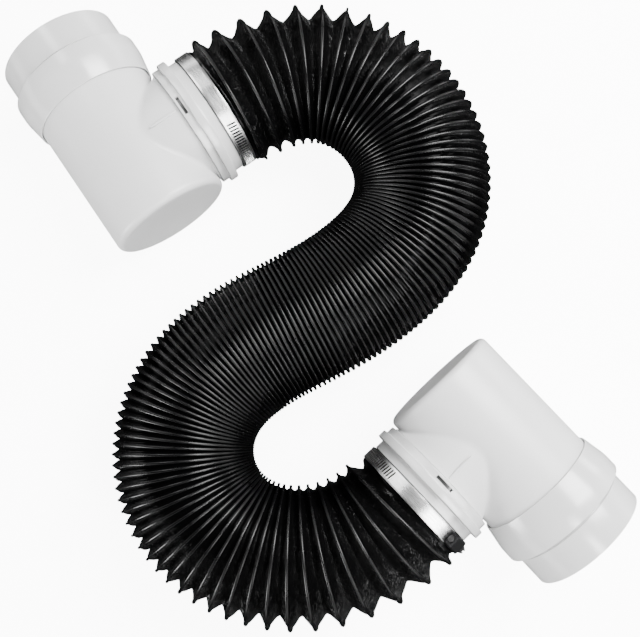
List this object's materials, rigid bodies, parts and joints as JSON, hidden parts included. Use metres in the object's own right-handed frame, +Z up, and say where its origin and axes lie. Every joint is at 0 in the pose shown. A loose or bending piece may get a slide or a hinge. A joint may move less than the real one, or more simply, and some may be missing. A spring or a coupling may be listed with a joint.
{
  "type": "dryer vent hose",
  "caption": "Pleated flexible vent hose lying in an S, clamped to a swivelling close elbow at each end.",
  "frame": {"origin": "on the floor under the middle of the bounding box", "axes": "+Z up from the floor; seen from above with +Y up the picture, elbow a is at the upper left and elbow b at the lower right"},
  "size_m": [0.5362, 0.5352, 0.119],
  "materials": {
    "duct_foil": "glossy wrinkled film",
    "white_plastic": "satin moulded",
    "clamp_steel": "bright rolled",
    "housing_steel": "dark"
  },
  "bodies": {
    "hose": {"duct_hose": "duct_foil", "hose_collar_a": "white_plastic", "hose_collar_b": "white_plastic", "clamp_band_a": "clamp_steel", "clamp_band_b": "clamp_steel", "clamp_housing_a": "housing_steel", "clamp_housing_b": "housing_steel"},
    "elbow_a_turning": {"elbow_a": "white_plastic", "wall_collar_a": "white_plastic"},
    "elbow_b_turning": {"elbow_b": "white_plastic", "wall_collar_b": "white_plastic"},
    "screw_a": {"clamp_screw_a": "clamp_steel"},
    "screw_b": {"clamp_screw_b": "clamp_steel"}
  },
  "joints": [
    {"name": "elbow_a_swivel", "type": "hinge", "parent": "hose", "child": "elbow_a_turning", "pos_m": [-0.10568, 0.16243, 0.0595], "axis": [0.8241, 0.5664, 0], "range_deg": [-90, 90]},
    {"name": "clamp_screw_a_turn", "type": "hinge", "parent": "hose", "child": "screw_a", "pos_m": [-0.11527, 0.21875, 0.03194], "axis": [-0.2659, 0.3869, 0.8829], "continuous": true},
    {"name": "elbow_b_swivel", "type": "hinge", "parent": "hose", "child": "elbow_b_turning", "pos_m": [0.102, -0.1438, 0.0595], "axis": [-0.7278, -0.6858, 0], "range_deg": [-90, 90]},
    {"name": "clamp_screw_b_turn", "type": "hinge", "parent": "hose", "child": "screw_b", "pos_m": [0.11251, -0.18994, 0.10173], "axis": [-0.4933, 0.5235, 0.6947], "continuous": true}
  ]
}
